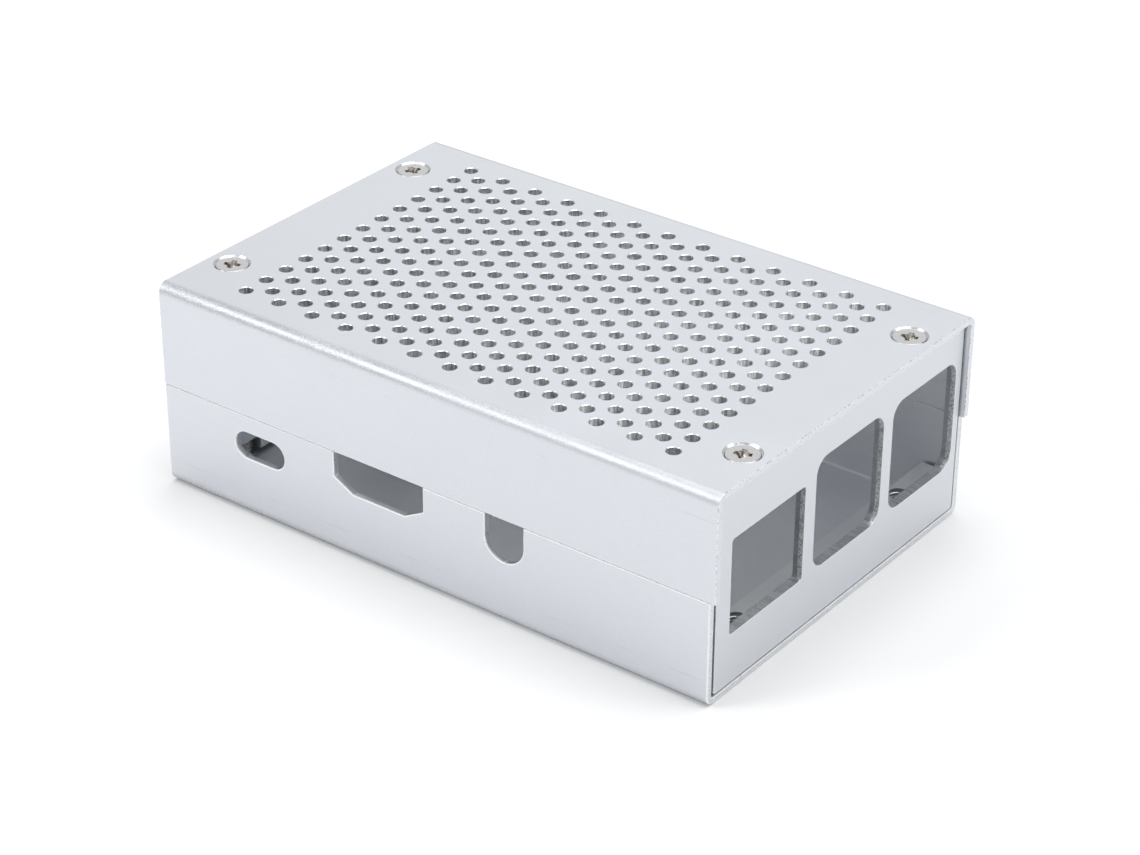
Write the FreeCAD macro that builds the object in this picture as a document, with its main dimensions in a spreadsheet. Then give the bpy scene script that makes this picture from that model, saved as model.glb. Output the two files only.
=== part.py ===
import FreeCAD, Part
import math
import os
import re

import Sketcher

# A metal case for a small single board computer. Two sheets folded to a U meet half way up the
# sides, the upper one full of vent holes. An end frame closes each end, and eight short
# countersunk screws hold the two sheets to the frames.
#
# Millimetres. X runs along the case, with the ports at +X and the memory card at -X. The power,
# video and audio cut-outs are in the front, at -Y. The origin is the middle of the base.

SIZES = [
    # the folded sheets
    ("case_length", 94.0, "outside length of the cover"),
    ("case_width", 61.0, "outside width of both sheets"),
    ("case_height", 31.5, "outside height"),
    ("sheet_thickness", 1.0, "thickness of cover and tray"),
    ("inner_bend_radius", 0.5, "inside radius of each fold"),
    ("seam_height", 15.8, "height at which the two sheets meet"),
    ("seam_gap", 0.12, "gap between the edges of the two sheets"),
    ("tray_setback", 0.8, "how far the tray and the port end wall stand in from the cover's end"),
    # the vents
    ("vent_diameter", 2.0, "width across a vent hole"),
    ("vent_sides", 6, "flats that stand for the round of a vent hole"),
    ("vent_pitch_along", 6.0, "spacing of vents along the case"),
    ("vent_pitch_across", 4.1, "spacing of vents across the case"),
    ("vent_margin_end", 10.0, "least distance of a vent from the ends"),
    ("vent_margin_side", 5.5, "least distance of a vent from the sides"),
    # the screws, M3 with a flat head
    ("screw_inset", 3.85, "screw axis from the end of the case"),
    ("screw_spacing", 39.4, "distance between screw axes across the case"),
    ("thread_diameter", 3.0, "outside diameter of the thread"),
    ("thread_clearance", 0.1, "room on the diameter between screw and tapped hole"),
    ("screw_length", 5.0, "length of a screw, head included"),
    ("screw_sides", 12, "flats that stand for the round of a screw"),
    ("head_sunk", 0.12, "how deep the head sits below the sheet"),
    ("head_land", 0.08, "height of the straight rim of the head"),
    ("recess_span", 2.7, "length of each bar of the cross recess"),
    ("recess_width", 0.6, "width of each bar of the cross recess"),
    ("recess_depth", 1.0, "depth of the cross recess"),
    ("countersink_mouth", 5.3, "diameter of a countersink at the surface"),
    ("hole_clearance", 0.2, "room on the diameter where a screw passes through a sheet"),
    ("lead_in_clearance", 0.3, "room on the diameter round a head's cone in a tapped hole"),
    # the end frames
    ("frame_wall", 1.5, "thickness of the end wall"),
    ("flange_edge", 0.55, "metal between a tapped hole and the free edge of its flange"),
    ("frame_side_clearance", 0.4, "gap between end frame and sides"),
    ("frame_floor_gap", 0.3, "gap between end wall and floor of the tray"),
    ("ledge_top", 6.9, "height of the upper face of the lower flange"),
    ("ledge_thickness", 3.0, "thickness of the lower flange at the screws"),
    ("ledge_boss_gap", 0.75, "gap under the thick middle of the lower flange"),
    ("ledge_boss_inset", 12.5, "distance of the thick middle from the sides"),
    ("top_flange_thickness", 2.0, "thickness of the upper flange"),
    # the windows of the port end
    ("window_base", 8.75, "height of the lower edge of all three windows"),
    ("network_window_y", 12.85, "middle of the network window from the front"),
    ("network_window_width", 16.6, "width of the network window"),
    ("network_window_top", 22.95, "height of its upper edge"),
    ("network_window_corner", 0.5, "its corner radius"),
    ("data_window_width", 16.2, "width of each twin socket window"),
    ("data_window_top", 25.4, "height of their upper edge"),
    ("data_window_corner", 2.4, "their corner radius"),
    ("first_data_window_y", 31.75, "middle of the first twin socket window from the front"),
    ("second_data_window_y", 50.2, "middle of the second twin socket window from the front"),
    # the slot of the card end
    ("card_slot_y", 30.5, "middle of the card slot from the front"),
    ("card_slot_width", 16.0, "width of the card slot"),
    ("card_slot_base", 7.3, "height of its lower edge"),
    ("card_slot_height", 4.5, "height of the card slot"),
    ("card_slot_corner", 1.0, "its corner radius"),
    # the cut-outs of the front, set out from the card end
    ("power_slot_x", 17.6, "middle of the power slot"),
    ("power_slot_z", 11.1, "height of its middle"),
    ("power_slot_length", 9.0, "length of the power slot"),
    ("power_slot_height", 4.1, "height of the power slot"),
    ("video_notch_x", 39.0, "middle of the video notch"),
    ("video_notch_width", 15.6, "width of the video notch"),
    ("video_notch_base", 10.15, "height of its lower edge"),
    ("video_corner_width", 3.3, "length of its cut corners along the case"),
    ("video_corner_height", 1.75, "height of its cut corners"),
    ("audio_notch_x", 60.5, "middle of the audio notch"),
    ("audio_notch_radius", 3.2, "radius of its round bottom"),
    ("audio_notch_base", 9.3, "height of its lowest point"),
    # the holes that fix the board, set out from the card end and the front
    ("board_hole_x", 10.5, "first row of holes from the card end"),
    ("board_hole_y", 6.0, "first row of holes from the front"),
    ("board_hole_span_x", 58.0, "distance between the holes along the case"),
    ("board_hole_span_y", 49.0, "distance between the holes across the case"),
    ("board_hole_diameter", 2.8, "diameter of each hole"),
]
COUNTERSINK_ANGLE = 90
MIRRORED_SCREW = FreeCAD.Rotation(FreeCAD.Vector(1, 0, 0), 180)

# Formulas that several pieces share, in the names of the sizes above.
SIDE = "(case_width / 2)"
END = "(case_length / 2)"
BEND = "(sheet_thickness + inner_bend_radius)"
COVER_EDGE = "(seam_height + seam_gap / 2)"
TRAY_EDGE = "(seam_height - seam_gap / 2)"
FRAME_TOP = "(case_height - sheet_thickness)"
FRAME_BASE = "(sheet_thickness + frame_floor_gap)"
FRAME_SIDE = "(case_width / 2 - sheet_thickness - frame_side_clearance)"
FRAME_DEPTH = "(screw_inset + thread_diameter / 2 + flange_edge)"
LEDGE_UNDERSIDE = "(ledge_top - ledge_thickness)"
HEAD_DIAMETER = "(countersink_mouth - 2 * (head_sunk + head_land))"
CLEARANCE_HOLE = "(thread_diameter + hole_clearance)"
SHANK_DIAMETER = "(thread_diameter - thread_clearance)"
LEAD_IN_MOUTH = "(max(thread_diameter; countersink_mouth - 2 * sheet_thickness) + lead_in_clearance)"
VENT_COLUMNS = "(floor((case_length - 2 * vent_margin_end) / vent_pitch_along) + 1)"
VENT_ROWS = "(floor((case_width - 2 * vent_margin_side) / vent_pitch_across) + 1)"

doc = FreeCAD.newDocument("BoardCase")


def make_sheet():
    """The spreadsheet of sizes: what each one is, and its number under a name."""
    sheet = doc.addObject("Spreadsheet::Sheet", "Sizes")
    for row, (name, number, meaning) in enumerate(SIZES, start=1):
        sheet.set(f"A{row}", meaning)
        sheet.set(f"B{row}", str(number))
        sheet.setAlias(f"B{row}", name)
    doc.recompute()
    return sheet


sheet = make_sheet()
SIZE_NAMES = {name for name, number, meaning in SIZES}


def in_sheet(formula):
    """A formula with each name of a size pointed at its cell."""
    def point(word):
        return f"Sizes.{word.group()}" if word.group() in SIZE_NAMES else word.group()
    return re.sub(r"[a-z][a-z_]*", point, formula)


def number(formula):
    """What a formula comes to at the present sizes."""
    return float(sheet.evalExpression(in_sheet(formula)))


def bind(thing, name, formula):
    thing.setExpression(name, in_sheet(formula))


def new_body(label):
    body = doc.addObject("PartDesign::Body", label)
    body.Label = label
    return body


def origin_part(body, role):
    """One of the body's own origin planes or axes."""
    return next(part for part in body.Origin.OriginFeatures if part.Role == role)


def attach(feature, body, role, across="0", up="0", out="0"):
    """Lay a feature on an origin plane, moved across, up and out of that plane."""
    feature.AttachmentSupport = [(origin_part(body, role), "")]
    feature.MapMode = "FlatFace"
    bind(feature, ".AttachmentOffset.Base.x", across)
    bind(feature, ".AttachmentOffset.Base.y", up)
    bind(feature, ".AttachmentOffset.Base.z", out)


def new_sketch(body, name, role, out="0"):
    sketch = body.newObject("Sketcher::SketchObject", name)
    attach(sketch, body, role, out=out)
    return sketch


def fix_point(sketch, element, end, x, y):
    """Hold a point of the sketch at two formulas."""
    for kind, formula in (("DistanceX", x), ("DistanceY", y)):
        rule = Sketcher.Constraint(kind, -1, 1, element, end, number(formula))
        index = sketch.addConstraint(rule)
        bind(sketch, f"Constraints[{index}]", formula)


def arc_between(start, finish, heading, turn):
    """The arc that leaves start along heading and ends at finish, turning left (1) or right (-1)."""
    normal = FreeCAD.Vector(-heading.y, heading.x, 0) * turn
    chord = finish - start
    radius = chord.dot(chord) / (2 * normal.dot(chord))
    centre = start + normal * radius
    circle = Part.Circle(centre, FreeCAD.Vector(0, 0, 1), radius)
    first, last = (start, finish) if turn > 0 else (finish, start)
    angles = [math.atan2(point.y - centre.y, point.x - centre.x) for point in (first, last)]
    return Part.ArcOfCircle(circle, angles[0], angles[1])


def draw_outline(sketch, corners):
    """Close a line through corners, each an x, a y and a turn.

    A turn of 1 or -1 makes the stretch that leaves the corner a round one, tangent to the
    straight stretch before it, and 0 makes it straight.
    """
    points = [FreeCAD.Vector(number(x), number(y), 0) for x, y, turn in corners]
    count = len(corners)
    elements = []
    for index, (x, y, turn) in enumerate(corners):
        start = points[index]
        finish = points[(index + 1) % count]
        if turn:
            heading = (start - points[index - 1]).normalize()
            element = sketch.addGeometry(arc_between(start, finish, heading, turn), False)
        else:
            element = sketch.addGeometry(Part.LineSegment(start, finish), False)
        # an arc is stored turning left, so one that turns right is met at its far end
        ends = (2, 1) if turn < 0 else (1, 2)
        elements.append((element, ends))
    for index, (x, y, turn) in enumerate(corners):
        element, ends = elements[index]
        before, before_ends = elements[index - 1]
        meeting = "Tangent" if turn else "Coincident"
        sketch.addConstraint(Sketcher.Constraint(meeting, before, before_ends[1], element, ends[0]))
        fix_point(sketch, element, ends[0], x, y)


def draw_circle(sketch, x, y, diameter):
    """A round hole's outline, its middle and its width held by formulas."""
    centre = FreeCAD.Vector(number(x), number(y), 0)
    circle = Part.Circle(centre, FreeCAD.Vector(0, 0, 1), number(diameter) / 2)
    element = sketch.addGeometry(circle, False)
    fix_point(sketch, element, 3, x, y)
    rule = Sketcher.Constraint("Diameter", element, number(diameter))
    index = sketch.addConstraint(rule)
    bind(sketch, f"Constraints[{index}]", diameter)


def rounded_rectangle(left, right, base, top, radius):
    """The corners of a rectangle with four round corners."""
    return [
        (f"{left} + {radius}", base, 0),
        (f"{right} - {radius}", base, 1),
        (right, f"{base} + {radius}", 0),
        (right, f"{top} - {radius}", 1),
        (f"{right} - {radius}", top, 0),
        (f"{left} + {radius}", top, 1),
        (left, f"{top} - {radius}", 0),
        (left, f"{base} + {radius}", 1),
    ]


def rectangle(left, right, base, top):
    return [(left, base, 0), (right, base, 0), (right, top, 0), (left, top, 0)]


def pad(body, sketch, length, towards_minus=False):
    feature = body.newObject("PartDesign::Pad", f"{sketch.Name}Pad")
    feature.Profile = sketch
    feature.Reversed = towards_minus
    bind(feature, "Length", length)
    doc.recompute()
    return feature


def cut(body, sketch, depth, along_normal=False):
    """Cut a sketch away, against its plane's normal or along it, and see that it does cut."""
    volume_before = body.Shape.Volume
    feature = body.newObject("PartDesign::Pocket", f"{sketch.Name}Cut")
    feature.Profile = sketch
    feature.Reversed = along_normal
    bind(feature, "Length", depth)
    doc.recompute()
    if body.Shape.Volume >= volume_before:
        raise RuntimeError(f"{sketch.Name} cuts nothing")
    return feature


def countersunk_holes(body, name, out, places, diameter, mouth, upwards=False):
    """Round holes through the piece, each with a conical mouth at the height `out`."""
    volume_before = body.Shape.Volume
    sketch = new_sketch(body, f"{name}Centres", "XY_Plane", out)
    for x, y in places:
        draw_circle(sketch, x, y, diameter)
    doc.recompute()
    hole = body.newObject("PartDesign::Hole", name)
    hole.Profile = sketch
    hole.Reversed = upwards
    doc.recompute()
    hole.ThreadType = "None"
    hole.DepthType = "ThroughAll"
    hole.HoleCutType = "Countersink"
    hole.HoleCutCustomValues = True
    hole.HoleCutCountersinkAngle = COUNTERSINK_ANGLE
    bind(hole, "Diameter", diameter)
    bind(hole, "HoleCutDiameter", mouth)
    doc.recompute()
    if body.Shape.Volume >= volume_before:
        raise RuntimeError(f"{name} cuts nothing")


def screw_places(ends=(-1, 1)):
    """The axes of the screws at the given ends of the case."""
    return [(f"{end} * ({END} - screw_inset)", f"{side} * screw_spacing / 2")
            for end in ends for side in (-1, 1)]


def folded_section(web, towards, edge):
    """A U of sheet: its web at height `web`, and legs that reach `edge`, up or down from it."""
    rise = 1 if towards == "+" else -1
    bend_start = f"{web} {towards} {BEND}"
    inner_face = f"{web} {towards} sheet_thickness"
    return [
        (f"-{SIDE}", edge, 0),
        (f"-{SIDE}", bend_start, rise),
        (f"-{SIDE} + {BEND}", web, 0),
        (f"{SIDE} - {BEND}", web, rise),
        (SIDE, bend_start, 0),
        (SIDE, edge, 0),
        (f"{SIDE} - sheet_thickness", edge, 0),
        (f"{SIDE} - sheet_thickness", bend_start, -rise),
        (f"{SIDE} - {BEND}", inner_face, 0),
        (f"-{SIDE} + {BEND}", inner_face, -rise),
        (f"-{SIDE} + sheet_thickness", bend_start, 0),
        (f"-{SIDE} + sheet_thickness", edge, 0),
    ]


def first_vent(body, name, columns, rows):
    """The corner vent of a centred field of straight rows through the top of the cover."""
    vent = body.newObject("PartDesign::SubtractivePrism", f"{name}Vent")
    first_x = f"-({columns} - 1) * vent_pitch_along / 2"
    first_y = f"-({rows} - 1) * vent_pitch_across / 2"
    attach(vent, body, "XY_Plane", first_x, first_y, FRAME_TOP)
    vent.Refine = False
    # the flats touch the round hole that they stand for
    bind(vent, "Polygon", "vent_sides")
    bind(vent, "Circumradius", "vent_diameter / 2 / cos(180 deg / vent_sides)")
    bind(vent, "Height", "sheet_thickness")
    doc.recompute()
    return vent


def repeat_vent(body, name, vent, columns, rows):
    """Repeat the corner vent over its whole field."""
    field = body.newObject("PartDesign::LinearPattern", name)
    field.Originals = [vent]
    field.Refine = False
    field.Direction = (origin_part(body, "X_Axis"), [""])
    field.Direction2 = (origin_part(body, "Y_Axis"), [""])
    bind(field, "Length", f"({columns} - 1) * vent_pitch_along")
    bind(field, "Occurrences", columns)
    bind(field, "Length2", f"({rows} - 1) * vent_pitch_across")
    bind(field, "Occurrences2", rows)
    body.Tip = field
    doc.recompute()


def make_cover():
    """The upper sheet: vents in two staggered fields, and four countersunk holes."""
    body = new_body("cover")
    section = new_sketch(body, "CoverSection", "YZ_Plane", f"-{END}")
    draw_outline(section, folded_section("case_height", "-", COVER_EDGE))
    pad(body, section, "case_length")
    countersunk_holes(body, "CoverScrewHoles", "case_height", screw_places(),
                      CLEARANCE_HOLE, "countersink_mouth")
    fields = [("MainVents", VENT_COLUMNS, VENT_ROWS),
              ("StaggeredVents", f"({VENT_COLUMNS} - 1)", f"({VENT_ROWS} - 1)")]
    vents = [first_vent(body, *field) for field in fields]
    for vent, (name, columns, rows) in zip(vents, fields):
        repeat_vent(body, name, vent, columns, rows)
    return body


def front_sketch(body, name):
    """A sketch on the outer face of the front, with x along the case and y up."""
    return new_sketch(body, name, "XZ_Plane", SIDE)


def cut_power_slot(body):
    """A slot with round ends, for the power plug."""
    sketch = front_sketch(body, "PowerSlot")
    middle = f"(power_slot_x - {END})"
    straight = "(power_slot_length - power_slot_height) / 2"
    base = "power_slot_z - power_slot_height / 2"
    top = "power_slot_z + power_slot_height / 2"
    draw_outline(sketch, [
        (f"{middle} - {straight}", base, 0),
        (f"{middle} + {straight}", base, 1),
        (f"{middle} + {straight}", top, 0),
        (f"{middle} - {straight}", top, 1),
    ])
    cut(body, sketch, "sheet_thickness")


def cut_video_notch(body):
    """A notch down from the seam, its lower corners cut off as on the plug's shell."""
    sketch = front_sketch(body, "VideoNotch")
    left = f"video_notch_x - {END} - video_notch_width / 2"
    right = f"video_notch_x - {END} + video_notch_width / 2"
    shoulder = "video_notch_base + video_corner_height"
    draw_outline(sketch, [
        (f"{left} + video_corner_width", "video_notch_base", 0),
        (f"{right} - video_corner_width", "video_notch_base", 0),
        (right, shoulder, 0),
        (right, TRAY_EDGE, 0),
        (left, TRAY_EDGE, 0),
        (left, shoulder, 0),
    ])
    cut(body, sketch, "sheet_thickness")


def cut_audio_notch(body):
    """A notch down from the seam with a half round bottom."""
    sketch = front_sketch(body, "AudioNotch")
    left = f"audio_notch_x - {END} - audio_notch_radius"
    right = f"audio_notch_x - {END} + audio_notch_radius"
    round_start = "audio_notch_base + audio_notch_radius"
    draw_outline(sketch, [
        (left, TRAY_EDGE, 0),
        (left, round_start, 1),
        (right, round_start, 0),
        (right, TRAY_EDGE, 0),
    ])
    cut(body, sketch, "sheet_thickness")


def drill_board_holes(body):
    """Four plain holes through the floor, in the board's own pattern."""
    sketch = new_sketch(body, "BoardHoles", "XY_Plane", "sheet_thickness")
    for column in (0, 1):
        for row in (0, 1):
            x = f"board_hole_x - {END} + {column} * board_hole_span_x"
            y = f"board_hole_y - {SIDE} + {row} * board_hole_span_y"
            draw_circle(sketch, x, y, "board_hole_diameter")
    cut(body, sketch, "sheet_thickness")


def make_tray():
    """The lower sheet: cut-outs in the front, screw holes and board holes in the floor."""
    body = new_body("tray")
    section = new_sketch(body, "TraySection", "YZ_Plane", f"-{END}")
    draw_outline(section, folded_section("0", "+", TRAY_EDGE))
    pad(body, section, "case_length - tray_setback")
    cut_power_slot(body)
    cut_video_notch(body)
    cut_audio_notch(body)
    drill_board_holes(body)
    countersunk_holes(body, "TrayScrewHoles", "0", screw_places(),
                      CLEARANCE_HOLE, "countersink_mouth", upwards=True)
    return body


def outer_face(end):
    """Where the outer face of an end wall stands: at the ports it is flush with the tray."""
    setback = "tray_setback" if end > 0 else "0"
    return f"{end} * ({END} - {setback})"


def make_end_frame(label, prefix, end):
    """An end wall with a flange along its top and a ledge along its foot.

    `end` is 1 at the ports and -1 at the card. Both flanges are tapped for the screws.
    """
    body = new_body(label)
    towards_middle = end < 0
    inner_face = f"{end} * ({END} - {FRAME_DEPTH})"
    depth = f"abs({outer_face(end)} - {inner_face})"
    wall = new_sketch(body, f"{prefix}Outline", "YZ_Plane", outer_face(end))
    draw_outline(wall, rounded_rectangle(
        f"-{FRAME_SIDE}", FRAME_SIDE, FRAME_BASE, FRAME_TOP, "inner_bend_radius"))
    pad(body, wall, depth, towards_minus=not towards_middle)
    behind_wall = f"{depth} - frame_wall"
    hollow = new_sketch(body, f"{prefix}Hollow", "YZ_Plane", inner_face)
    draw_outline(hollow, rectangle(
        f"-{FRAME_SIDE}", FRAME_SIDE, "ledge_top", f"{FRAME_TOP} - top_flange_thickness"))
    cut(body, hollow, behind_wall, along_normal=not towards_middle)
    relief = new_sketch(body, f"{prefix}Relief", "YZ_Plane", inner_face)
    boss_side = f"({SIDE} - ledge_boss_inset)"
    boss_base = "sheet_thickness + ledge_boss_gap"
    draw_outline(relief, [
        (f"-{FRAME_SIDE}", FRAME_BASE, 0),
        (FRAME_SIDE, FRAME_BASE, 0),
        (FRAME_SIDE, LEDGE_UNDERSIDE, 0),
        (boss_side, LEDGE_UNDERSIDE, 0),
        (boss_side, boss_base, 0),
        (f"-{boss_side}", boss_base, 0),
        (f"-{boss_side}", LEDGE_UNDERSIDE, 0),
        (f"-{FRAME_SIDE}", LEDGE_UNDERSIDE, 0),
    ])
    cut(body, relief, behind_wall, along_normal=not towards_middle)
    countersunk_holes(body, f"{prefix}TappedHoles", FRAME_TOP, screw_places((end,)),
                      "thread_diameter", LEAD_IN_MOUTH)
    return body


def cut_window(body, name, end, middle, width, base, top, corner):
    """A window with round corners through an end wall."""
    sketch = new_sketch(body, name, "YZ_Plane", outer_face(end))
    draw_outline(sketch, rounded_rectangle(
        f"{middle} - {SIDE} - {width} / 2", f"{middle} - {SIDE} + {width} / 2", base, top, corner))
    cut(body, sketch, "frame_wall", along_normal=end < 0)


def make_port_end_frame():
    """The end with the network window and the two windows for the twin data sockets."""
    body = make_end_frame("port_end_frame", "PortEnd", 1)
    cut_window(body, "NetworkWindow", 1, "network_window_y", "network_window_width",
               "window_base", "network_window_top", "network_window_corner")
    for name, middle in (("FirstDataWindow", "first_data_window_y"),
                         ("SecondDataWindow", "second_data_window_y")):
        cut_window(body, name, 1, middle, "data_window_width",
                   "window_base", "data_window_top", "data_window_corner")
    return body


def make_card_end_frame():
    """The end with one slot, through which the memory card is reached."""
    body = make_end_frame("card_end_frame", "CardEnd", -1)
    cut_window(body, "CardSlot", -1, "card_slot_y", "card_slot_width", "card_slot_base",
               "card_slot_base + card_slot_height", "card_slot_corner")
    return body


def screw_round(body, name, diameter, start, length):
    """A straight stretch of a screw, downwards from `start`, as many-sided as screws are drawn."""
    feature = body.newObject("PartDesign::AdditivePrism", name)
    attach(feature, body, "XY_Plane", out=f"{start} - ({length})")
    bind(feature, "Polygon", "screw_sides")
    bind(feature, "Circumradius", f"({diameter}) / 2")
    bind(feature, "Height", length)
    doc.recompute()
    return feature


def make_screw(label, x, y, out, upwards=False):
    """A short screw with a flat head and a cross recess, its head's face at the height `out`.

    The shank is drawn plain, at the outside diameter of its thread.
    """
    body = new_body(label)
    cone_depth = f"({HEAD_DIAMETER} - {SHANK_DIAMETER}) / 2"
    head = screw_round(body, f"{label}_head", HEAD_DIAMETER, "0", f"head_land + {cone_depth}")
    underside = min(range(len(head.Shape.Faces)),
                    key=lambda index: head.Shape.Faces[index].CenterOfMass.z)
    # the cone of the head lies on the cone of the countersink
    cone = body.newObject("PartDesign::Chamfer", f"{label}_cone")
    cone.Base = (head, [f"Face{underside + 1}"])
    bind(cone, "Size", cone_depth)
    doc.recompute()
    screw_round(body, f"{label}_shank", SHANK_DIAMETER, "-head_land", "screw_length - head_land")
    recess = new_sketch(body, f"{label}_recess", "XY_Plane")
    long_half = "recess_span / 2"
    short_half = "recess_width / 2"
    draw_outline(recess, [
        (f"-{long_half}", f"-{short_half}", 0),
        (f"-{short_half}", f"-{short_half}", 0),
        (f"-{short_half}", f"-{long_half}", 0),
        (short_half, f"-{long_half}", 0),
        (short_half, f"-{short_half}", 0),
        (long_half, f"-{short_half}", 0),
        (long_half, short_half, 0),
        (short_half, short_half, 0),
        (short_half, long_half, 0),
        (f"-{short_half}", long_half, 0),
        (f"-{short_half}", short_half, 0),
        (f"-{long_half}", short_half, 0),
    ])
    cut(body, recess, "recess_depth")
    if upwards:
        body.Placement.Rotation = MIRRORED_SCREW
    bind(body, ".Placement.Base.x", x)
    bind(body, ".Placement.Base.y", y)
    bind(body, ".Placement.Base.z", out)
    doc.recompute()
    return body


def make_screws():
    """Four screws down through the cover and four up through the tray, on the same axes."""
    corner_names = ("card_front", "card_back", "port_front", "port_back")
    screws = []
    for corner, (x, y) in zip(corner_names, screw_places()):
        screws.append(make_screw(f"cover_screw_{corner}", x, y, "case_height - head_sunk"))
        screws.append(make_screw(f"base_screw_{corner}", x, y, "head_sunk", upwards=True))
    return screws


def check_document():
    """Stop if a feature failed or a sketch is left loose."""
    for thing in doc.Objects:
        if "Invalid" in thing.State or "Error" in thing.State:
            raise RuntimeError(f"{thing.Name} is {thing.State}")
        if thing.TypeId == "Sketcher::SketchObject" and not thing.FullyConstrained:
            raise RuntimeError(f"{thing.Name} is not fully constrained")


def export(bodies):
    for body in bodies:
        shape = body.Shape
        if shape.isNull() or not shape.isValid() or len(shape.Solids) != 1:
            raise RuntimeError(f"{body.Label} is not one sound solid")
    os.makedirs("parts", exist_ok=True)
    for body in bodies:
        body.Shape.exportStep(f"parts/{body.Label}.step")
        box = body.Shape.BoundBox
        print(f"{body.Label}: {body.Shape.Volume:.1f} mm3, {len(body.Shape.Faces)} faces, "
              f"X {box.XMin:.2f} to {box.XMax:.2f}, Y {box.YMin:.2f} to {box.YMax:.2f}, "
              f"Z {box.ZMin:.2f} to {box.ZMax:.2f}")


pieces = [make_cover(), make_tray(), make_port_end_frame(), make_card_end_frame()]
pieces += make_screws()
doc.recompute()
check_document()
export(pieces)
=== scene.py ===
import math

import bmesh
import bpy
from mathutils import Matrix, Quaternion, Vector


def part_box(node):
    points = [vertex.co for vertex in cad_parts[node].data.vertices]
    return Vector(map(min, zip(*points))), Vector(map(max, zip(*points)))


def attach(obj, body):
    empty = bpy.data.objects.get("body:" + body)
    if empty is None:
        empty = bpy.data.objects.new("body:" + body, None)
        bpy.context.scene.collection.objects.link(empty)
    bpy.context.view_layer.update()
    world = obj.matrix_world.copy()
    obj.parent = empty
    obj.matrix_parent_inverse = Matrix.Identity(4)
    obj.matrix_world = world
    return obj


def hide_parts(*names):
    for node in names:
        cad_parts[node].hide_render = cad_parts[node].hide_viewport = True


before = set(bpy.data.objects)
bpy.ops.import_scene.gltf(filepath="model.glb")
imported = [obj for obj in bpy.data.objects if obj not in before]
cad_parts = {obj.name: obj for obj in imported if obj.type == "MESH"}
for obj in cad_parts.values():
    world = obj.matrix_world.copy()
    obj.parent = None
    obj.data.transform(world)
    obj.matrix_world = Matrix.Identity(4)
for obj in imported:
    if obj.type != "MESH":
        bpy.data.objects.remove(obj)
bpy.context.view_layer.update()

# All lengths are in metres, so a number of millimetres is written as that number times MM.
MM = 0.001

# the sheets: the model says where the cover lies, and its bends are drawn in fine steps
COVER_LOW, COVER_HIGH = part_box("cover")
CASE_TOP = COVER_HIGH.z
SHEET = 1.0 * MM
BEND = 1.5 * MM
BEND_STEPS = 12
# the cover reaches this much below the model's own, for a seam as fine as the photograph's
SEAM_REACH = 0.03 * MM

# how wide the broken edges are, on the cover, on the end frames and on the tray
COVER_BREAK = 0.08 * MM
CUT_OUT_BREAK = 0.14 * MM
TRAY_BREAK = 0.20 * MM
BREAK_STEPS = 2
# an edge is sharp past the first angle, and on the cover past the second; turns under the third are
# shaded smooth
SHARP_ANGLE = math.radians(30)
COVER_SHARP_ANGLE = math.radians(60)
SMOOTH_ANGLE = math.radians(35)

# a face looks along an axis with this much of its normal on it, and across the axis with this little
ALONG = 0.9
ACROSS = 0.1

# in a copied piece, corners nearer than this are one, and faces that turn less than this are one
MERGE_GAP = 0.001 * MM
FLAT_ANGLE = math.radians(0.5)

# the vents: round holes whose fine bright rim is so wide and so deep, in a field of columns by rows,
# and between them a second field with one column and one row less
VENT_RADIUS = 1.0 * MM
VENT_RIM = 0.09 * MM
VENT_RIM_DROP = 0.08 * MM
VENT_STEPS = 20
VENT_PITCH = (6.0 * MM, 4.1 * MM)
VENT_COUNTS = (13, 13)

# the screws: M3 with a flat head, which lies a little below the face of the sheet; its land is the
# short upright side, whose upper edge is rounded, and the shank ends in a short tapered point
SCREW_NAMES = [f"{level}_screw_{end}_{side}"
               for level in ("cover", "base") for end in ("card", "port") for side in ("front", "back")]
SCREW_STEPS = 48
SCREW_LENGTH = 5.0 * MM
HEAD_RADIUS = 2.32 * MM
HEAD_LAND = 0.14 * MM
HEAD_ROUND = 0.12 * MM
HEAD_ROUND_STEPS = 3
HEAD_SUNK = 0.12 * MM
POINT_LENGTH = 0.25 * MM
POINT_TAPER = 0.75
# how far each screw was turned when it was tightened, in degrees
SCREW_TURNS = {
    "cover_screw_card_front": 22, "cover_screw_card_back": 60,
    "cover_screw_port_front": 18, "cover_screw_port_back": 15,
    "base_screw_card_front": 5, "base_screw_card_back": 72,
    "base_screw_port_front": 33, "base_screw_port_back": 51,
}

# the holes for them: the mouth of the countersink, the round hole under it, and the reach within
# which no edge is broken
MOUTH_RADIUS = 2.65 * MM
CLEARANCE_RADIUS = 1.6 * MM
SCREW_HOLE_REACH = 2.8 * MM

# their threads: half a turn's width as a share of the pitch, and how deep its root lies in the metal
THREAD_ROOT = 1.2 * MM
THREAD_CREST = 1.46 * MM
THREAD_PITCH = 0.5 * MM
THREAD_HALF_WIDTH = 0.46
THREAD_SUNK = 0.05 * MM
THREAD_STEPS = 28
# in turns: the plain part at each end of the shank
THREAD_START = 0.6
THREAD_RUNOUT = 0.6

# their cross recess: two tapered bars, and a round taper where they cross, cut by shapes that stand
# out above the head
RECESS_SPAN = 2.6 * MM
RECESS_WIDTH = 0.80 * MM
RECESS_DEPTH = 1.3 * MM
RECESS_TAPER = (0.42, 0.7, 1)
RECESS_ABOVE = 0.2 * MM
RECESS_FOOT_RADIUS = 0.2 * MM
RECESS_MOUTH_RADIUS = 0.98 * MM
RECESS_MIDDLE_STEPS = 16

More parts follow.
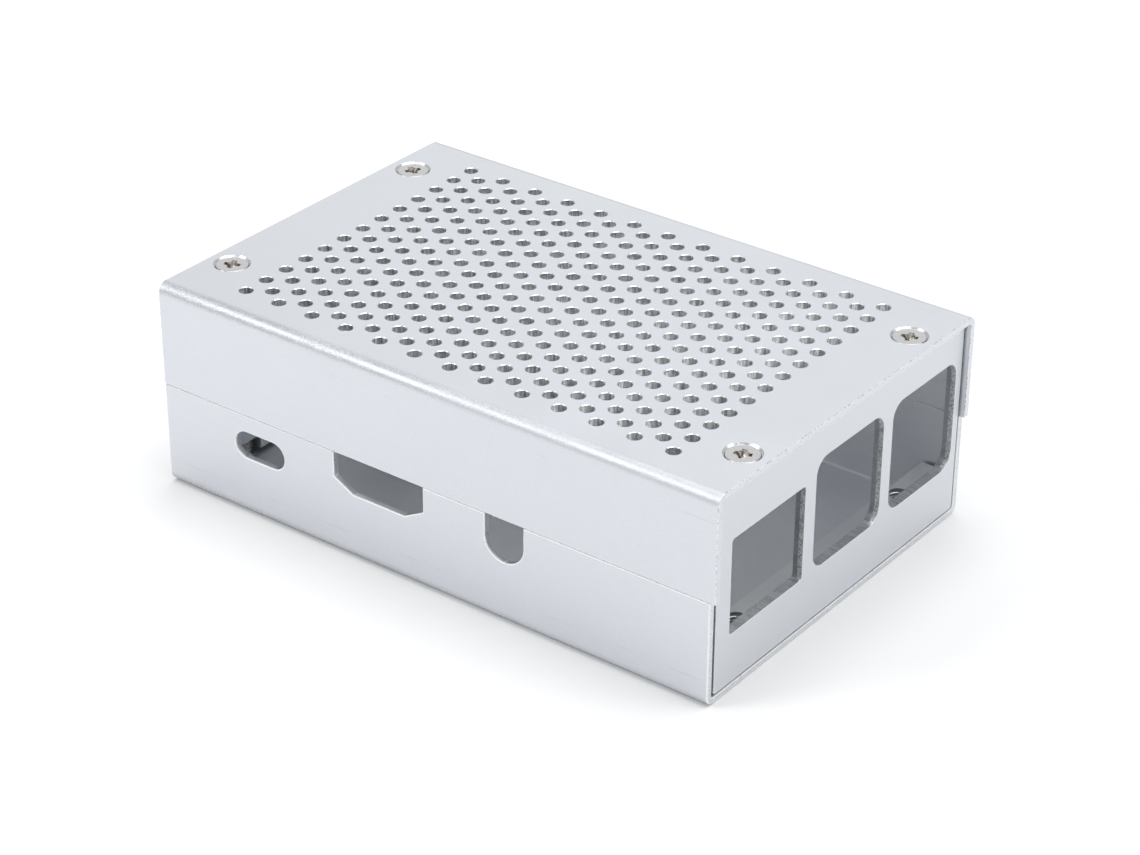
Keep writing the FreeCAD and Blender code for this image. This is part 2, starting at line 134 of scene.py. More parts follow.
# the tapped holes of the ledges, whose upper turns the short screws leave empty: those turns
# start above the screw's point and end below the ledge's face
TAPPED_RADIUS = 1.5 * MM
TAPPED_CREST = 1.24 * MM
LEDGE_TOP = 6.9 * MM
TURNS_ABOVE_POINT = 0.35 * MM
TURNS_BELOW_FACE = 0.3 * MM

# the windows of the end frames: how far they reach, and the wall that they go through
FRAME_WALL = 1.5 * MM
WINDOW_REACH = 28.5 * MM
WINDOW_FOOT = 7.2 * MM
WINDOW_HEAD = 27.0 * MM

# the photograph's camera; the lens and the sensor are in millimetres, as Blender takes them
CAMERA_TARGET = Vector((1.93, -0.95, 12.37)) * MM
CAMERA_AZIMUTH = math.radians(37.06)
CAMERA_ELEVATION = math.radians(29.64)
CAMERA_DISTANCE = 424.4 * MM
CAMERA_ROLL = math.radians(0.29)
CAMERA_LENS = 96.3
CAMERA_SENSOR = 36

# the studio: a pale floor just under the case, a soft sky and four round lamps, each with its
# place, its width and its power in watts
FLOOR_SIZE = 6
FLOOR_DROP = 0.05 * MM
SKY_STRENGTH = 0.47
LAMP_AIM = Vector((0, 0, 0.01))
LAMPS = {
    "key": ((-0.42, -0.50, 0.50), 0.42, 2.0),
    "overhead": ((0.1, 0.1, 0.95), 0.9, 6.4),
    "back_left": ((-0.55, 0.75, 0.55), 0.8, 1.0),
    "right": ((0.62, 0.32, 0.66), 0.36, 0.65),
}


def screw_spot(name):
    """The axis of a screw, from the model's own screw."""
    low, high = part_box(name)
    return Vector(((low.x + high.x) / 2, (low.y + high.y) / 2, 0))


SCREW_SPOTS = {name: screw_spot(name) for name in SCREW_NAMES}


# Modelling


def take(piece):
    """Make one piece the selected and active one."""
    bpy.ops.object.select_all(action="DESELECT")
    piece.select_set(True)
    bpy.context.view_layer.objects.active = piece
    return piece


def named(name):
    """The primitive just added, under its own name."""
    piece = bpy.context.object
    piece.name = name
    piece.data.name = name
    return take(piece)


def settle(piece):
    """Put a piece's place, turn and size into its mesh."""
    take(piece)
    bpy.ops.object.transform_apply(location=True, rotation=True, scale=True)


def edit(piece):
    """Go into edit mode on one piece."""
    take(piece)
    bpy.ops.object.mode_set(mode="EDIT")


def leave_edit():
    """Go back to object mode."""
    bpy.ops.object.mode_set(mode="OBJECT")


def pick(piece, kind, test):
    """In edit mode, select the faces or edges that pass a test, and nothing else."""
    mesh = bmesh.from_edit_mesh(piece.data)
    bpy.ops.mesh.select_all(action="DESELECT")
    elements = mesh.faces if kind == "faces" else mesh.edges
    for element in elements:
        if test(element):
            element.select_set(True)
    bmesh.update_edit_mesh(piece.data)


def draw_out(rise):
    """In edit mode, extrude the selected faces straight up, or down where the rise is negative."""
    bpy.ops.mesh.extrude_region_move(TRANSFORM_OT_translate={"value": (0, 0, rise)})


def apply_modifiers(piece):
    """Put a piece's modifiers into its mesh."""
    take(piece)
    for modifier in list(piece.modifiers):
        bpy.ops.object.modifier_apply(modifier=modifier.name)


def copy_of(piece, name):
    """A copy with a mesh of its own."""
    twin = piece.copy()
    twin.data = piece.data.copy()
    twin.name = name
    twin.data.name = name
    bpy.context.scene.collection.objects.link(twin)
    return twin


def join(pieces, name):
    """Several pieces made one, under a new name."""
    take(pieces[0])
    for piece in pieces[1:]:
        piece.select_set(True)
    bpy.ops.object.join()
    return named(name)


def cut_with(piece, cutter):
    """Cut one solid out of another, and keep the cutter's finish on the cut faces."""
    boolean = piece.modifiers.new("cut", "BOOLEAN")
    boolean.operation = "DIFFERENCE"
    boolean.solver = "EXACT"
    boolean.material_mode = "TRANSFER"
    boolean.object = cutter
    apply_modifiers(piece)
    bpy.data.objects.remove(cutter)


def by_a_screw(edge):
    """Whether an edge is part of a screw's hole, which keeps its edges."""
    middle = (edge.verts[0].co + edge.verts[1].co) / 2
    return any((middle.xy - spot.xy).length < SCREW_HOLE_REACH for spot in SCREW_SPOTS.values())


def soften(piece, width, angle, edge_finish):
    """Break the edges sharper than an angle, with a finish of their own on the broken edges."""
    slot = finish_slot(piece, edge_finish)
    edit(piece)
    pick(piece, "edges", lambda edge: edge.calc_face_angle(0) > angle and not by_a_screw(edge))
    bpy.ops.mesh.bevel(offset=width, segments=BREAK_STEPS, affect="EDGES", material=slot,
                       clamp_overlap=True)
    leave_edit()


def finish_slot(piece, finish):
    """The number of a finish on a piece, added if the piece lacks it."""
    if finish.name not in piece.data.materials:
        piece.data.materials.append(finish)
    return piece.data.materials.find(finish.name)


def refinish(piece, finish, test):
    """Give the faces that pass a test another finish. The test takes a face's centre and normal."""
    slot = finish_slot(piece, finish)
    for face in piece.data.polygons:
        if test(face.center, face.normal):
            face.material_index = slot


def smooth(piece):
    """Shade the gentle turns of a surface smooth, and keep its flat faces flat."""
    take(piece)
    bpy.ops.object.shade_smooth_by_angle(angle=SMOOTH_ANGLE)
    weighted = piece.modifiers.new("even_shading", "WEIGHTED_NORMAL")
    weighted.keep_sharp = True
    weighted.weight = 100
    apply_modifiers(piece)


def dress(piece, finish):
    """Give a piece its finish if it has none, and its body."""
    if not piece.data.materials:
        piece.data.materials.append(finish)
    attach(piece, "root")


# Finishes

# nearly all of a noise lies within this span
GRAIN_SPAN = (0.3, 0.7)
# on the blasted sheets, in from their outer faces: where a fold's peel starts, where it is full, and
# where the press left its line
PEEL_START = 1.9 * MM
PEEL_FULL = 0.9 * MM
PRESS_LINE = 3.9 * MM
# to each side of its middle, that line is full as far as the first and gone at the second
PRESS_FULL = 0.02 * MM
PRESS_GONE = 0.14 * MM
# the dark grey of the folds' flecks and of the press line; towards the card end it is also painted
# shade on the folds
FOLD_FLECK = (0.52, 0.53, 0.55)


def new_material(name):
    """A new material that is drawn with nodes."""
    material = bpy.data.materials.new(name)
    material.use_nodes = True
    return material


class Finish:
    """A material under construction, with short ways to add its nodes."""

    def __init__(self, name, metallic=1.0):
        self.material = new_material(name)
        self.nodes = self.material.node_tree.nodes
        self.links = self.material.node_tree.links
        self.shader = self.nodes["Principled BSDF"]
        self.shader.inputs["Metallic"].default_value = metallic
        self.place = self.nodes.new("ShaderNodeTexCoord").outputs["Object"]

    def feed(self, socket, value):
        """Set a socket to a number, or link it to another node's output."""
        if hasattr(value, "is_linked"):
            self.links.new(value, socket)
        else:
            socket.default_value = value

    def maths(self, operation, first, second=0.0, third=0.0):
        """The result of one operation on up to three values."""
        made = self.nodes.new("ShaderNodeMath")
        made.operation = operation
        for socket, value in zip(made.inputs, (first, second, third)):
            self.feed(socket, value)
        return made.outputs["Value"]

    def ramp(self, value, low, high, start=0.0, end=1.0):
        """Carry a value from low..high over to start..end, with soft ends."""
        made = self.nodes.new("ShaderNodeMapRange")
        made.interpolation_type = "SMOOTHSTEP"
        for name, number in (("Value", value), ("From Min", low), ("From Max", high),
                             ("To Min", start), ("To Max", end)):
            self.feed(made.inputs[name], number)
        return made.outputs["Result"]

    def noise(self, size, detail=2.0, roughness=0.6, stretch=(1, 1, 1), turn=(0, 0, 0)):
        """Grain of about the given size in metres, drawn out by a stretch along each axis."""
        where = self.place
        if stretch != (1, 1, 1) or turn != (0, 0, 0):
            mapping = self.nodes.new("ShaderNodeMapping")
            mapping.inputs["Scale"].default_value = [1 / factor for factor in stretch]
            mapping.inputs["Rotation"].default_value = turn
            self.links.new(where, mapping.inputs["Vector"])
            where = mapping.outputs["Vector"]
        made = self.nodes.new("ShaderNodeTexNoise")
        made.inputs["Scale"].default_value = 1 / size
        made.inputs["Detail"].default_value = detail
        made.inputs["Roughness"].default_value = roughness
        self.links.new(where, made.inputs["Vector"])
        return made.outputs["Fac"]

    def mix(self, factor, dark, light):
        """A colour between two, each given as three numbers or as another node's output."""
        made = self.nodes.new("ShaderNodeMix")
        made.data_type = "RGBA"
        self.feed(made.inputs["Factor"], factor)
        for name, colour in (("A", dark), ("B", light)):
            self.feed(made.inputs[name], colour if hasattr(colour, "is_linked") else (*colour, 1))
        return made.outputs["Result"]

    def bump(self, height, depth, under=None):
        """Relief of the given depth in metres, over the relief made before it."""
        made = self.nodes.new("ShaderNodeBump")
        made.inputs["Strength"].default_value = 1.0
        made.inputs["Distance"].default_value = depth
        self.links.new(height, made.inputs["Height"])
        if under is not None:
            self.links.new(under, made.inputs["Normal"])
        return made.outputs["Normal"]

    def done(self, colour, roughness, normal):
        """The finished material."""
        self.feed(self.shader.inputs["Base Color"], colour)
        self.feed(self.shader.inputs["Roughness"], roughness)
        self.feed(self.shader.inputs["Normal"], normal)
        return self.material


def plain_metal(name, light, dark, roughness, grain, depth, turn=(0.35, 0.65), stretch=(1, 1, 1),
                metallic=1.0):
    """A metal whose colour, gloss and relief all follow one grain, dark to light over `turn`."""
    finish = Finish(name, metallic)
    speckle = finish.noise(grain, detail=3.0, stretch=stretch)
    return finish.done(finish.mix(finish.ramp(speckle, *turn), dark, light),
                       finish.ramp(speckle, *GRAIN_SPAN, roughness - 0.08, roughness + 0.1),
                       finish.bump(speckle, depth))


def blasted_sheet(name, light, dark):
    """Blasted and anodised sheet: satin faces, folds stretched to a large-grained peel, faint marks,
    and painted shade on the folds towards the card end.
    """
    finish = Finish(name)
    axes = finish.nodes.new("ShaderNodeSeparateXYZ")
    finish.links.new(finish.place, axes.inputs[0])
    side = COVER_HIGH.y
    half_height = CASE_TOP / 2
    out = finish.maths("ABSOLUTE", axes.outputs["Y"])
    rise = finish.maths("ABSOLUTE", finish.maths("SUBTRACT", axes.outputs["Z"], half_height))
    fold = finish.maths("MULTIPLY", finish.ramp(out, side - PEEL_START, side - PEEL_FULL),
                        finish.ramp(rise, half_height - PEEL_START, half_height - PEEL_FULL))

    cloud = finish.noise(14 * MM, detail=4.0)
    grain = finish.noise(0.22 * MM, detail=2.0)
    peel = finish.noise(0.26 * MM, detail=2.0, roughness=0.7)
    hair = finish.noise(1.1 * MM, detail=1.0, stretch=(30, 1, 1), turn=(0.2, 0.3, 0.5))
    scratch = finish.ramp(hair, 0.70, 0.76)

    # the press leaves a faint broken line beside each fold, on the sides alone
    off_line = finish.maths("ABSOLUTE", finish.maths("SUBTRACT", rise, half_height - PRESS_LINE))
    line = finish.ramp(off_line, PRESS_FULL, PRESS_GONE, 1.0, 0.0)
    broken = finish.ramp(finish.noise(3.0 * MM, detail=4.0, stretch=(2, 1, 1)), 0.50, 0.62)
    press = finish.maths("MULTIPLY", finish.maths("MULTIPLY", line, broken),
                         finish.ramp(out, side - 0.2 * MM, side - 0.1 * MM))

    # the folds are flecked where their peel dips, and towards the card end the flecks grow into painted
    # shade, which dims the folds' highlight there
    tone = finish.maths("MULTIPLY_ADD", grain, 0.45, finish.maths("MULTIPLY", cloud, 0.55))
    colour = finish.mix(finish.ramp(tone, 0.35, 0.65), dark, light)
    painted_dimming_to_card_end = finish.ramp(axes.outputs["X"], COVER_LOW.x, COVER_HIGH.x, 1.0, 0.35)
    fleck_and_painted_dimming = finish.maths("MULTIPLY", painted_dimming_to_card_end, finish.ramp(peel, 0.62, 0.40))
    colour = finish.mix(finish.maths("MULTIPLY", fold, fleck_and_painted_dimming), colour, FOLD_FLECK)
    colour = finish.mix(finish.maths("MULTIPLY", press, 0.35), colour, FOLD_FLECK)

    # the folds are a little duller than the faces
    gloss = finish.ramp(cloud, *GRAIN_SPAN, 0.36, 0.46)
    gloss = finish.maths("ADD", gloss, finish.maths("MULTIPLY", fold, 0.10))

    normal = finish.bump(grain, 0.010 * MM)
    normal = finish.bump(finish.maths("MULTIPLY", peel, fold), 0.035 * MM, normal)
    normal = finish.bump(finish.maths("ADD", scratch, press), -0.006 * MM, normal)
    return finish.done(colour, gloss, normal)


def chattered_metal(name, light, dark):
    """The floor of a milled window: ripples across it where the cutter chattered."""
    finish = Finish(name)
    ripple = finish.noise(0.55 * MM, detail=2.0, stretch=(6, 1, 6))
    grain = finish.noise(0.15 * MM)
    normal = finish.bump(ripple, 0.05 * MM, finish.bump(grain, 0.02 * MM))
    return finish.done(finish.mix(finish.ramp(ripple, 0.38, 0.62), dark, light),
                       finish.ramp(grain, *GRAIN_SPAN, 0.26, 0.42), normal)


# the sheets
FOLDED_SHEET = blasted_sheet("blasted_sheet", (0.70, 0.723, 0.760), (0.665, 0.687, 0.722))
# the faces inside the case: the same sheet, painted much lighter than its outer faces as painted light
# inside the case
INNER_SHEET_PAINTED_LIGHT = plain_metal("inner_sheet_painted_light", (0.90, 0.92, 0.95), (0.86, 0.88, 0.91),
                          roughness=0.50, grain=0.3 * MM, depth=0.012 * MM)
SHEET_END = plain_metal("sheet_end", (0.76, 0.78, 0.812), (0.55, 0.57, 0.60),
                        roughness=0.42, grain=0.25 * MM, depth=0.03 * MM, turn=(0.34, 0.50))
WORN_EDGE = plain_metal("worn_edge", (0.82, 0.84, 0.87), (0.45, 0.46, 0.48),
                        roughness=0.42, grain=0.40 * MM, depth=0.02 * MM, turn=(0.40, 0.50))
VENT_LIP = plain_metal("vent_lip", (0.97, 0.975, 0.98), (0.90, 0.91, 0.92),
                       roughness=0.26, grain=0.3 * MM, depth=0.005 * MM)
VENT_WALL = plain_metal("vent_wall", (0.97, 0.97, 0.98), (0.58, 0.59, 0.60),
                        roughness=0.40, grain=0.35 * MM, depth=0.05 * MM, turn=(0.42, 0.58),
                        stretch=(1, 1, 8))
COUNTERSINK = plain_metal("countersink", (0.95, 0.96, 0.98), (0.88, 0.89, 0.91),
                          roughness=0.24, grain=0.8 * MM, depth=0.006 * MM)

# the tray and the end frames; their broken edges are bare cut metal, painted nearly white and hardly
# metallic as a painted highlight
EDGE_PAINTED_HIGHLIGHT = plain_metal("edge_painted_highlight", (0.97, 0.975, 0.98), (0.66, 0.67, 0.69),
                          roughness=0.42, grain=0.5 * MM, depth=0.01 * MM, turn=(0.30, 0.42),
                          metallic=0.1)
MILLED_FRAME = plain_metal("milled_frame", (0.715, 0.740, 0.773), (0.672, 0.693, 0.727),
                           roughness=0.42, grain=0.2 * MM, depth=0.012 * MM)
NIBBLED_CUT = plain_metal("nibbled_cut", (0.97, 0.975, 0.98), (0.50, 0.51, 0.53),
                          roughness=0.38, grain=0.28 * MM, depth=0.08 * MM, turn=(0.36, 0.58))
SHEARED_WALL = plain_metal("sheared_wall", (0.58, 0.59, 0.61), (0.48, 0.49, 0.51),
                           roughness=0.36, grain=0.4 * MM, depth=0.02 * MM)
CHATTERED_SILL = chattered_metal("chattered_sill", (0.88, 0.89, 0.91), (0.70, 0.71, 0.73))
# the tops of the ledges: the frame's metal painted nearly white, as painted light on them inside the
# case
LEDGE_PAINTED_LIGHT = plain_metal("ledge_painted_light", (0.98, 0.985, 0.99), (0.94, 0.95, 0.965),
                         roughness=0.40, grain=0.2 * MM, depth=0.012 * MM)
TAPPED_METAL = plain_metal("tapped_metal", (0.97, 0.97, 0.97), (0.88, 0.88, 0.88),
                           roughness=0.30, grain=0.5 * MM, depth=0.005 * MM)

# the screws
SCREW_STEEL = plain_metal("plated_steel", (0.56, 0.56, 0.56), (0.52, 0.52, 0.52),
                          roughness=0.28, grain=0.5 * MM, depth=0.006 * MM)
RECESS_STEEL = plain_metal("recess_steel", (0.80, 0.77, 0.74), (0.36, 0.31, 0.27),
                           roughness=0.20, grain=0.7 * MM, depth=0.01 * MM, turn=(0.44, 0.54))


# The folded cover


def folded_cover():
    """A box without floor and ends, its two long edges folded round, with the sheet's thickness."""
    foot = COVER_LOW - Vector((0, 0, SEAM_REACH))
    bpy.ops.mesh.primitive_cube_add(size=1, location=(foot + COVER_HIGH) / 2)
    cover = named("vented_cover")
    cover.scale = COVER_HIGH - foot
    settle(cover)
    edit(cover)
    pick(cover, "faces", lambda face: face.normal.z < -ALONG or abs(face.normal.x) > ALONG)
    bpy.ops.mesh.delete(type="FACE")
    pick(cover, "edges", long_top_edge)
    bpy.ops.mesh.bevel(offset=BEND, segments=BEND_STEPS, affect="EDGES")
    leave_edit()
    thick = cover.modifiers.new("sheet", "SOLIDIFY")
    thick.thickness = SHEET
    thick.offset = -1
    thick.use_even_offset = True
    apply_modifiers(cover)
    cover.data.materials.append(FOLDED_SHEET)
    refinish(cover, SHEET_END, at_end)
    # the inner faces are painted lighter, as painted light inside the case
    refinish(cover, INNER_SHEET_PAINTED_LIGHT, inside_sheets)
    soften(cover, COVER_BREAK, COVER_SHARP_ANGLE, WORN_EDGE)
    return cover


def long_top_edge(edge):
    """Whether an edge runs along the top of the case, on one side of it."""
    start, end = (corner.co for corner in edge.verts)
    return min(start.z, end.z) > CASE_TOP - COVER_BREAK and abs(start.y - end.y) < COVER_BREAK


def at_end(centre, normal):
    """Whether a face is on the cut end of a sheet."""
    return abs(normal.x) > ALONG


def inside_sheets(centre, normal):
    """Whether a face of the cover or the tray looks towards the middle of the case."""
    inwards = normal.y * centre.y + normal.z * (centre.z - CASE_TOP / 2)
    return abs(normal.x) < ACROSS and inwards < 0


def vent_cutter():
    """One punch, longer than the sheet is thick: a round bar that flares into the bright rim."""
    above = 0.4 * MM
    below = 0.5 * MM
    straight = SHEET - VENT_RIM_DROP + below
    bpy.ops.mesh.primitive_cylinder_add(vertices=VENT_STEPS, radius=VENT_RADIUS, depth=straight,
                                        location=(0, 0, CASE_TOP - VENT_RIM_DROP - straight / 2))
    punch = named("vent_punch")
    settle(punch)
    edit(punch)
    pick(punch, "faces", lambda face: face.normal.z > ALONG)
    draw_out(VENT_RIM_DROP)
    flare = (VENT_RADIUS + VENT_RIM) / VENT_RADIUS
    bpy.ops.transform.resize(value=(flare, flare, 1))
    draw_out(above)
    leave_edit()
    punch.data.materials.append(VENT_LIP)
    refinish(punch, VENT_WALL, lambda centre, normal: abs(normal.z) < ACROSS)
    return punch


def vent_field(punch, columns, rows):
    """The punch repeated over a centred field."""
    field = copy_of(punch, "vent_field")
    start = Vector((-(columns - 1) * VENT_PITCH[0] / 2, -(rows - 1) * VENT_PITCH[1] / 2, 0))
    field.data.transform(Matrix.Translation(start))
    for axis, count in enumerate((columns, rows)):
        repeat = field.modifiers.new("repeat", "ARRAY")
        repeat.count = count
        repeat.use_relative_offset = False
        repeat.use_constant_offset = True
        step = [0, 0, 0]
        step[axis] = VENT_PITCH[axis]
        repeat.constant_offset_displace = step
    apply_modifiers(field)
    return field


def countersink_cutter(spot):
    """A cone as wide as the mouth at the surface, and a round hole below it; it stands out above."""
    above = 0.3 * MM
    depth = MOUTH_RADIUS - CLEARANCE_RADIUS
    bpy.ops.mesh.primitive_cone_add(vertices=SCREW_STEPS, radius1=CLEARANCE_RADIUS,
                                    radius2=MOUTH_RADIUS + above, depth=depth + above,
                                    location=spot + Vector((0, 0, CASE_TOP + (above - depth) / 2)))
    sink = named("countersink")
    settle(sink)
    edit(sink)
    pick(sink, "faces", lambda face: face.normal.z < -ALONG)
    draw_out(-SHEET)
    leave_edit()
    sink.data.materials.append(COUNTERSINK)
    return sink


def make_cover():
    """The cover: the folded sheet with its vents and its countersunk holes cut in one go."""
    cover = folded_cover()
    punch = vent_cutter()
    fields = [vent_field(punch, *VENT_COUNTS),
              vent_field(punch, VENT_COUNTS[0] - 1, VENT_COUNTS[1] - 1)]
    bpy.data.objects.remove(punch)
    sinks = [countersink_cutter(spot) for name, spot in SCREW_SPOTS.items() if name.startswith("cover")]
    cut_with(cover, join(fields + sinks, "cover_cutter"))
    smooth(cover)
    dress(cover, FOLDED_SHEET)
    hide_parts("cover")


# The tray and the end frames


def merged_copy_of(node_name, name, finish):
    """A piece of the model as clean faces, ready to be finished."""
    piece = copy_of(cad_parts[node_name], name)
    piece.parent = None
    piece.data.materials.clear()
    piece.data.materials.append(finish)
    edit(piece)
    bpy.ops.mesh.select_all(action="SELECT")
    bpy.ops.mesh.remove_doubles(threshold=MERGE_GAP)
    bpy.ops.mesh.dissolve_limited(angle_limit=FLAT_ANGLE)
    leave_edit()
    return piece


def make_tray():
    """The tray: the model's own sheet, with broken edges painted bright as a highlight."""
    tray = merged_copy_of("tray", "lower_tray", FOLDED_SHEET)
    refinish(tray, SHEET_END, at_end)
    # the inner faces are painted lighter, as painted light inside the case
    refinish(tray, INNER_SHEET_PAINTED_LIGHT, inside_sheets)
    # the broken edges are painted nearly white, as a painted highlight
    soften(tray, TRAY_BREAK, SHARP_ANGLE, EDGE_PAINTED_HIGHLIGHT)
    smooth(tray)
    dress(tray, FOLDED_SHEET)
    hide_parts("tray")


def make_end(node_name, name):
    """An end frame: each window's cut is rough and bright outside, sheared and dark inside."""
    end = merged_copy_of(node_name, name, MILLED_FRAME)
    face = max((corner.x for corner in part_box(node_name)), key=abs)
    mid_wall = face - math.copysign(FRAME_WALL / 2, face)
    edit(end)
    bpy.ops.mesh.select_all(action="SELECT")
    bpy.ops.mesh.bisect(plane_co=(mid_wall, 0, 0), plane_no=(1, 0, 0))
    leave_edit()

    def in_window(centre, normal):
        return (abs(normal.x) < ACROSS and abs(centre.x) > abs(face) - FRAME_WALL
                and abs(centre.y) < WINDOW_REACH and WINDOW_FOOT < centre.z < WINDOW_HEAD)

    def outer_cut(centre, normal):
        return in_window(centre, normal) and abs(centre.x) > abs(mid_wall)

    def inner_cut(centre, normal):
        return in_window(centre, normal) and abs(centre.x) < abs(mid_wall)

    def sill(centre, normal):
        return in_window(centre, normal) and normal.z > ALONG

    def ledge(centre, normal):
        return normal.z > ALONG and abs(centre.x) < abs(face) - FRAME_WALL

    refinish(end, NIBBLED_CUT, outer_cut)
    refinish(end, SHEARED_WALL, inner_cut)
    refinish(end, CHATTERED_SILL, sill)
    # the ledges' tops are painted nearly white, as painted light
    refinish(end, LEDGE_PAINTED_LIGHT, ledge)
    # the broken edges are painted nearly white, as a painted highlight
    soften(end, CUT_OUT_BREAK, SHARP_ANGLE, EDGE_PAINTED_HIGHLIGHT)
    smooth(end)
    dress(end, MILLED_FRAME)
    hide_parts(node_name)


# The screws


def helix(name, root, crest, base, turns, inward=False):
    """A ridge of triangular section that climbs round an axis, one pitch for each turn."""
    bpy.ops.mesh.primitive_circle_add(vertices=3, radius=1, location=(0, 0, 0))
    ridge = named(name)
    half = THREAD_PITCH * THREAD_HALF_WIDTH
    buried = root + (THREAD_SUNK if inward else -THREAD_SUNK)
    corners = [(buried, 0, base - half), (buried, 0, base + half), (crest, 0, base)]
    for vertex, corner in zip(ridge.data.vertices, corners):
        vertex.co = corner
    climb = ridge.modifiers.new("climb", "SCREW")
    climb.axis = "Z"
    climb.angle = 2 * math.pi * turns
    climb.screw_offset = THREAD_PITCH * turns
    climb.steps = round(THREAD_STEPS * turns)
    climb.render_steps = climb.steps
    climb.use_merge_vertices = False
    apply_modifiers(ridge)
    edit(ridge)
    bpy.ops.mesh.select_all(action="SELECT")
    bpy.ops.mesh.normals_make_consistent(inside=False)
    leave_edit()
    return ridge


def make_screw():
    """One screw, head up, its face at height 0: land, cone, shank and point drawn down from a disc."""
    bpy.ops.mesh.primitive_circle_add(vertices=SCREW_STEPS, radius=HEAD_RADIUS, fill_type="NGON")
    screw = named("screw")
    cone = HEAD_RADIUS - THREAD_ROOT
    shank = SCREW_LENGTH - HEAD_LAND - cone
    edit(screw)
    bpy.ops.mesh.select_all(action="SELECT")
    for drop, grow in ((HEAD_LAND, 1.0), (cone, THREAD_ROOT / HEAD_RADIUS),
                       (shank - POINT_LENGTH, 1.0), (POINT_LENGTH, POINT_TAPER)):
        draw_out(-drop)
        bpy.ops.transform.resize(value=(grow, grow, 1))
    bpy.ops.mesh.select_all(action="SELECT")
    bpy.ops.mesh.normals_make_consistent(inside=False)
    pick(screw, "edges", lambda edge: all(corner.co.z > -0.5 * HEAD_LAND for corner in edge.verts))
    bpy.ops.mesh.bevel(offset=HEAD_ROUND, segments=HEAD_ROUND_STEPS, affect="EDGES")
    leave_edit()
    screw.data.materials.append(SCREW_STEEL)
    for turn in (0, math.pi / 2):
        cut_with(screw, recess_bar(turn))
    cut_with(screw, recess_middle())
    smooth(screw)
    plain_foot = THREAD_START * THREAD_PITCH
    thread = helix("screw_thread", THREAD_ROOT, THREAD_CREST, -SCREW_LENGTH + plain_foot,
                   (shank - plain_foot) / THREAD_PITCH - THREAD_RUNOUT)
    thread.data.materials.append(SCREW_STEEL)
    return join([screw, thread], "screw")


def recess_bar(turn):
    """One bar of the cross recess, narrower and shorter towards its foot."""
    bpy.ops.mesh.primitive_cube_add(size=1, location=(0, 0, (RECESS_ABOVE - RECESS_DEPTH) / 2))
    bar = named("recess_bar")
    bar.scale = (RECESS_SPAN, RECESS_WIDTH, RECESS_DEPTH + RECESS_ABOVE)
    settle(bar)
    edit(bar)
    pick(bar, "faces", lambda face: face.normal.z < -ALONG)
    bpy.ops.transform.resize(value=RECESS_TAPER)
    leave_edit()
    bar.rotation_euler.z = turn
    settle(bar)
    bar.data.materials.append(RECESS_STEEL)
    return bar


def recess_middle():
    """The round taper where the bars of the recess cross."""
    bpy.ops.mesh.primitive_cone_add(vertices=RECESS_MIDDLE_STEPS, radius1=RECESS_FOOT_RADIUS,
                                    radius2=RECESS_MOUTH_RADIUS, depth=RECESS_DEPTH + RECESS_ABOVE,
                                    location=(0, 0, (RECESS_ABOVE - RECESS_DEPTH) / 2))
    middle = named("recess_middle")
    settle(middle)
    middle.data.materials.append(RECESS_STEEL)
    return middle


def place_screws():
    """The screw copied to its eight places: head up in the cover, head down in the tray."""
    pattern = make_screw()
    for name in SCREW_NAMES:
        screw = copy_of(pattern, f"{name}_threaded")
        screw.rotation_euler.z = math.radians(SCREW_TURNS[name])
        screw.location = SCREW_SPOTS[name]
        if name.startswith("cover"):
            screw.location.z = CASE_TOP - HEAD_SUNK
        else:
            screw.rotation_euler.x = math.pi
            screw.location.z = HEAD_SUNK
        settle(screw)
        dress(screw, SCREW_STEEL)
        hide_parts(name)
    bpy.data.objects.remove(pattern)


def place_empty_turns():
    """The turns of thread that show in the ledges above the ends of the screws."""
    base = HEAD_SUNK + SCREW_LENGTH + TURNS_ABOVE_POINT
    turns = (LEDGE_TOP - TURNS_BELOW_FACE - base) / THREAD_PITCH
    pattern = helix("tapped_turns", TAPPED_RADIUS, TAPPED_CREST, base, turns, inward=True)
    for name in SCREW_NAMES:
        if name.startswith("base"):
            turn = copy_of(pattern, name.replace("base_screw", "tapped_turns"))
            turn.location = SCREW_SPOTS[name]
            settle(turn)
            dress(turn, TAPPED_METAL)
    bpy.data.objects.remove(pattern)


# Floor, light and camera


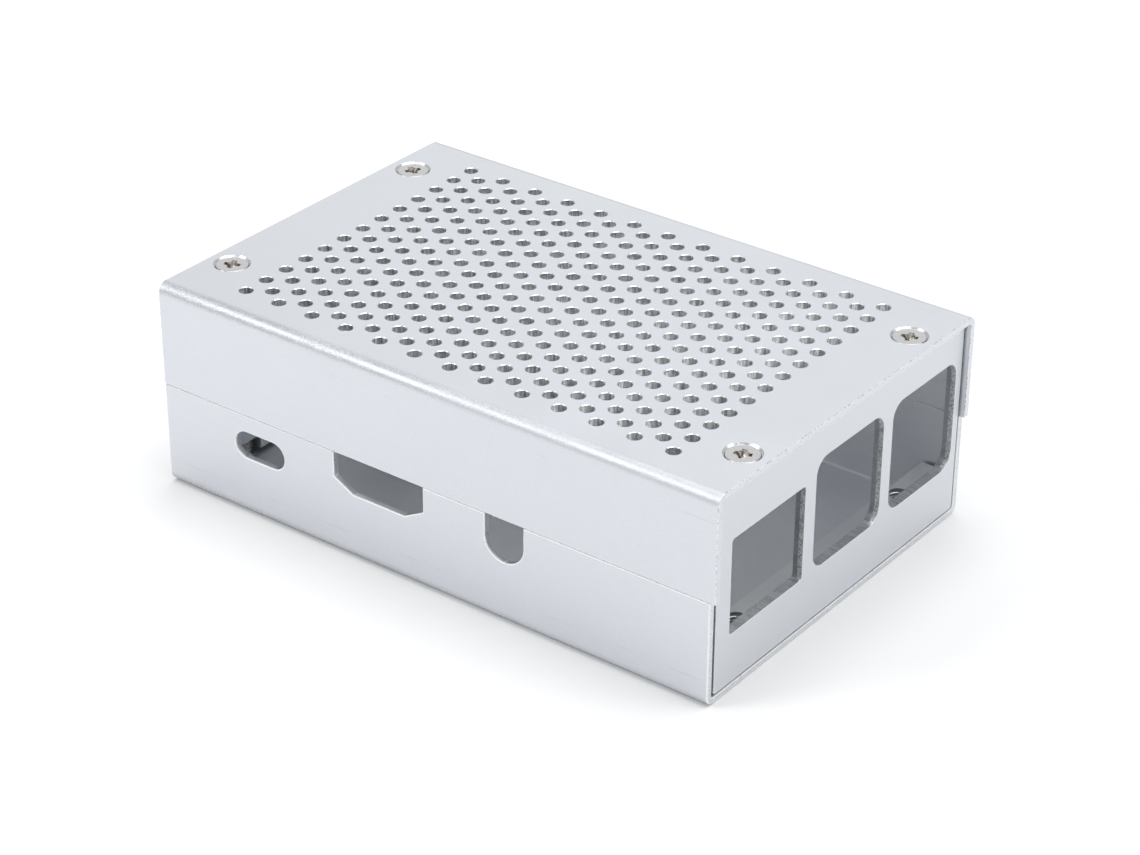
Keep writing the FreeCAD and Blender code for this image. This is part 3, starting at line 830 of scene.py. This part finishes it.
def make_floor():
    """A plain pale floor."""
    bpy.ops.mesh.primitive_plane_add(size=FLOOR_SIZE, location=(0, 0, -FLOOR_DROP))
    floor = named("floor")
    material = new_material("pale_floor")
    shader = material.node_tree.nodes["Principled BSDF"]
    shader.inputs["Base Color"].default_value = (0.90, 0.90, 0.90, 1)
    shader.inputs["Roughness"].default_value = 0.9
    shader.inputs["Specular IOR Level"].default_value = 0.1
    floor.data.materials.append(material)


def make_lamp(name, place, width, power):
    """A round soft lamp that shines on the case."""
    light = bpy.data.lights.new(name, "AREA")
    light.shape = "DISK"
    light.size = width
    light.energy = power
    lamp = bpy.data.objects.new(name, light)
    lamp.location = place
    lamp.rotation_mode = "QUATERNION"
    lamp.rotation_quaternion = (LAMP_AIM - Vector(place)).to_track_quat("-Z", "Y")
    bpy.context.scene.collection.objects.link(lamp)


def make_world():
    """An even sky, and colours shown as they are."""
    world = bpy.data.worlds.new("studio")
    world.use_nodes = True
    sky = world.node_tree.nodes["Background"]
    sky.inputs["Color"].default_value = (0.98, 0.99, 1.0, 1)
    sky.inputs["Strength"].default_value = SKY_STRENGTH
    bpy.context.scene.world = world
    bpy.context.scene.view_settings.view_transform = "Standard"


def make_camera():
    """The camera that sees the case as the photograph does."""
    lens = bpy.data.cameras.new("camera")
    lens.lens = CAMERA_LENS
    lens.sensor_width = CAMERA_SENSOR
    lens.clip_start = 0.01
    camera = bpy.data.objects.new("camera", lens)
    back = Vector((math.sin(CAMERA_AZIMUTH) * math.cos(CAMERA_ELEVATION),
                   -math.cos(CAMERA_AZIMUTH) * math.cos(CAMERA_ELEVATION),
                   math.sin(CAMERA_ELEVATION)))
    camera.location = CAMERA_TARGET + back * CAMERA_DISTANCE
    camera.rotation_mode = "QUATERNION"
    camera.rotation_quaternion = (-back).to_track_quat("-Z", "Y") @ Quaternion((0, 0, 1), CAMERA_ROLL)
    bpy.context.scene.collection.objects.link(camera)
    bpy.context.scene.camera = camera


make_cover()
make_tray()
make_end("port_end_frame", "port_end")
make_end("card_end_frame", "card_end")
place_screws()
place_empty_turns()
make_floor()
make_world()
for lamp_name, lamp_values in LAMPS.items():
    make_lamp(lamp_name, *lamp_values)
make_camera()
